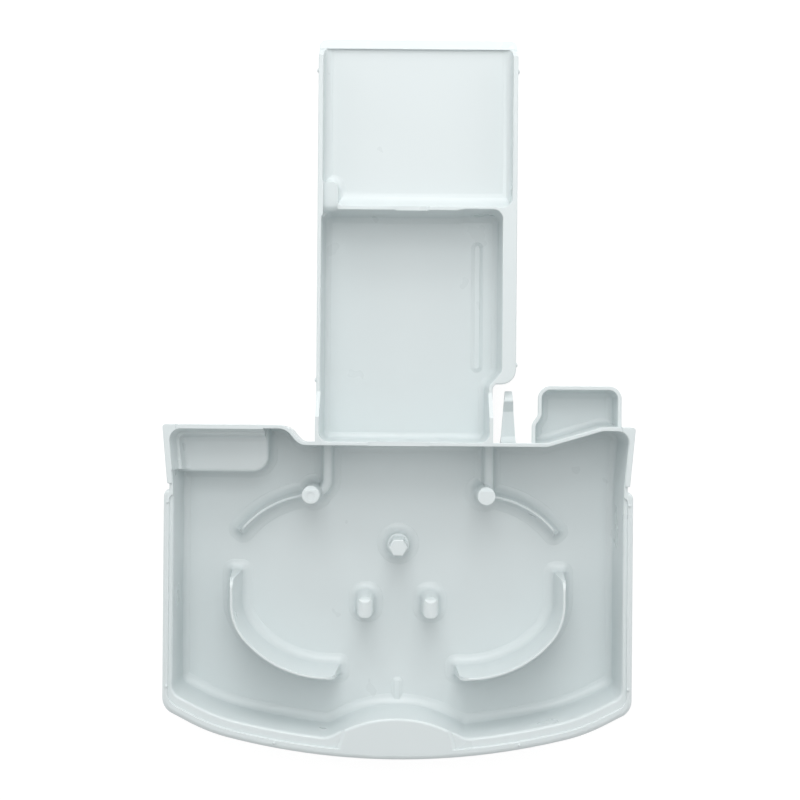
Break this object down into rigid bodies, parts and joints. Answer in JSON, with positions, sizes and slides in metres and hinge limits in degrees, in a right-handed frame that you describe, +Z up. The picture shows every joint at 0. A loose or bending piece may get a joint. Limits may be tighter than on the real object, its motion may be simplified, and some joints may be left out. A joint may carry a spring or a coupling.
{
  "type": "coffee machine drip tray",
  "caption": "Moulded plastic drip tray with a bowed front, a finger grip, guide ribs, and a narrow rear tongue holding shallow pans beside a small pocket.",
  "frame": {"origin": "on the flat underside of the basin, on the basin's centre plane, 83.8 mm behind the crest of the bowed front", "axes": "+Z up, +Y from the bowed front towards the machine along the tray's longest extent, +X to the right as the user faces the machine"},
  "size_m": [0.2414, 0.3718, 0.041],
  "materials": {
    "moulded_plastic": "pale blue-grey injection moulded plastic, smooth satin gloss"
  },
  "bodies": {
    "root": {"drip_tray": "moulded_plastic"}
  },
  "joints": []
}
